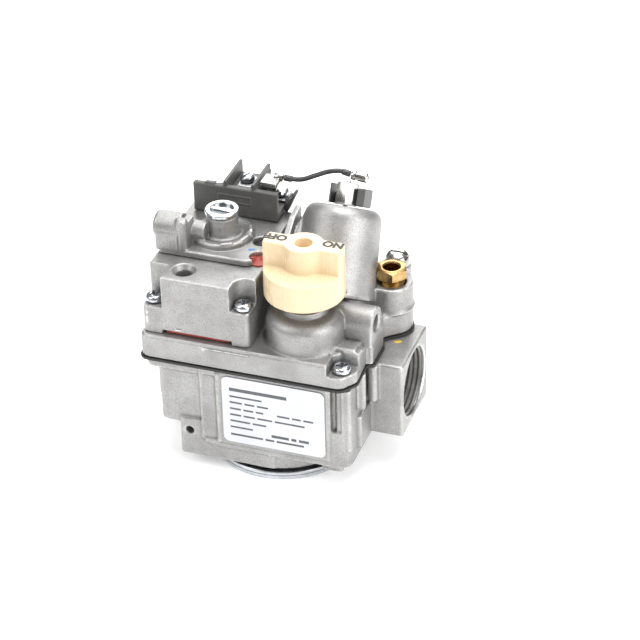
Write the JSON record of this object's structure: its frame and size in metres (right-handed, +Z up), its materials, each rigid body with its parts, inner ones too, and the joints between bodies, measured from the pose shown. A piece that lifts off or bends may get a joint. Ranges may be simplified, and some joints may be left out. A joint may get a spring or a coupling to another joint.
{
  "type": "gas valve",
  "caption": "Die-cast combination gas valve with threaded inlet and outlet, a push-and-turn knob, a regulator, a flame safety magnet, wire terminals and a pilot outlet.",
  "frame": {"origin": "centre of the round bottom cover's lowest face", "axes": "+Z up along the cover's axis, +X out through the gas inlet, -Y towards the label"},
  "size_m": [0.1002, 0.0686, 0.1057],
  "materials": {
    "die_cast_aluminium": "as die cast, sand textured",
    "zinc_plate": "bright zinc plate",
    "nickel_plate": "bright nickel plate",
    "spring_steel": "satin steel",
    "brass": "machined brass",
    "copper_winding": "enamelled copper wire",
    "cream_plastic": "satin moulded cream",
    "dark_grey_plastic": "moulded dark grey",
    "red_silicone": "soft red silicone",
    "black_rubber": "black rubber",
    "label_paper": "blank silver-white label",
    "lead_insulation": "dark wire insulation"
  },
  "bodies": {
    "body": {"body_gasket": "black_rubber", "body_screw_front_right": "zinc_plate", "body_screw_rear_left": "zinc_plate", "body_screw_rear_right": "zinc_plate", "bottom_cover": "zinc_plate", "inlet_screen": "spring_steel", "jumper_wire": "lead_insulation", "knob_spring": "spring_steel", "label": "label_paper", "lead_connector": "nickel_plate", "lead_insulator": "dark_grey_plastic", "lead_stud": "spring_steel", "lever_pin": "spring_steel", "lower_body": "die_cast_aluminium", "magnet_coil": "copper_winding", "magnet_core": "spring_steel", "magnet_nut": "nickel_plate", "main_diaphragm": "black_rubber", "main_valve_spring": "spring_steel", "operator_coil": "copper_winding", "operator_core": "spring_steel", "operator_gasket": "red_silicone", "operator_housing": "die_cast_aluminium", "operator_screw_front_left": "zinc_plate", "operator_screw_front_right": "zinc_plate", "operator_screw_rear_left": "zinc_plate", "operator_screw_rear_right": "zinc_plate", "pilot_ferrule": "brass", "pilot_fitting": "brass", "regulator_cap": "zinc_plate", "regulator_cover": "die_cast_aluminium", "regulator_diaphragm": "black_rubber", "regulator_plate": "spring_steel", "regulator_spring": "spring_steel", "stem_bushing": "brass", "stem_seal": "black_rubber", "tap_plug": "nickel_plate", "terminal_block": "dark_grey_plastic", "terminal_screw_left": "zinc_plate", "terminal_screw_middle": "zinc_plate", "terminal_screw_right": "zinc_plate", "terminal_tab_left": "spring_steel", "terminal_tab_middle": "spring_steel", "terminal_tab_right": "spring_steel", "upper_body": "die_cast_aluminium", "wire_clip": "dark_grey_plastic", "wire_lug": "spring_steel"},
    "cock": {"cock_plug": "brass"},
    "knob": {"knob": "cream_plastic", "knob_stem": "spring_steel"},
    "reset_lever": {"reset_lever": "spring_steel"},
    "safety_valve": {"safety_valve": "black_rubber", "safety_spring": "spring_steel"},
    "main_valve": {"main_valve": "black_rubber", "diaphragm_plate": "spring_steel"},
    "regulator_adjuster": {"regulator_adjuster": "dark_grey_plastic"},
    "pilot_adjuster": {"pilot_adjuster": "nickel_plate"},
    "armature": {"operator_armature": "spring_steel"}
  },
  "joints": [
    {"name": "cock_turn", "type": "hinge", "parent": "body", "child": "cock", "pos_m": [0.014, -0.012, 0.0576], "axis": [0, 0, 1], "range_deg": [0, 180]},
    {"name": "knob_press", "type": "slide", "parent": "cock", "child": "knob", "axis": [0, 0, -1], "range_m": [0, 0.0035], "stiffness_N_per_m": 900, "springref_m": -0.002, "deforming": ["knob_spring"]},
    {"name": "reset_lever_rock", "type": "hinge", "parent": "body", "child": "reset_lever", "pos_m": [0.0164, -0.0045, 0.053], "axis": [1, 0, 0], "range_deg": [0, 33]},
    {"name": "safety_lift", "type": "slide", "parent": "body", "child": "safety_valve", "axis": [0, 0.5299, 0.848], "range_m": [0, 0.003]},
    {"name": "main_valve_lift", "type": "slide", "parent": "body", "child": "main_valve", "axis": [0, 0, 1], "range_m": [0, 0.003], "stiffness_N_per_m": 300, "springref_m": -0.004, "deforming": ["main_valve_spring", "main_diaphragm"]},
    {"name": "regulator_turn", "type": "hinge", "parent": "body", "child": "regulator_adjuster", "pos_m": [-0.0247, 0.0048, 0.0895], "axis": [0, 0, 1], "continuous": true},
    {"name": "pilot_turn", "type": "hinge", "parent": "body", "child": "pilot_adjuster", "pos_m": [0.036, 0.0318, 0.0676], "axis": [0, 0, 1], "continuous": true},
    {"name": "armature_rock", "type": "hinge", "parent": "body", "child": "armature", "pos_m": [-0.0124, 0.0212, 0.0788], "axis": [0, -1, 0], "range_deg": [0, 3.5], "stiffness_Nm_per_rad": 0.03, "springref_deg": -5.73}
  ],
  "couplings": [
    {"joint": "reset_lever_rock", "follows": "knob_press", "rad_per_m": 144.6},
    {"joint": "safety_lift", "follows": "knob_press", "ratio": 0.857}
  ]
}
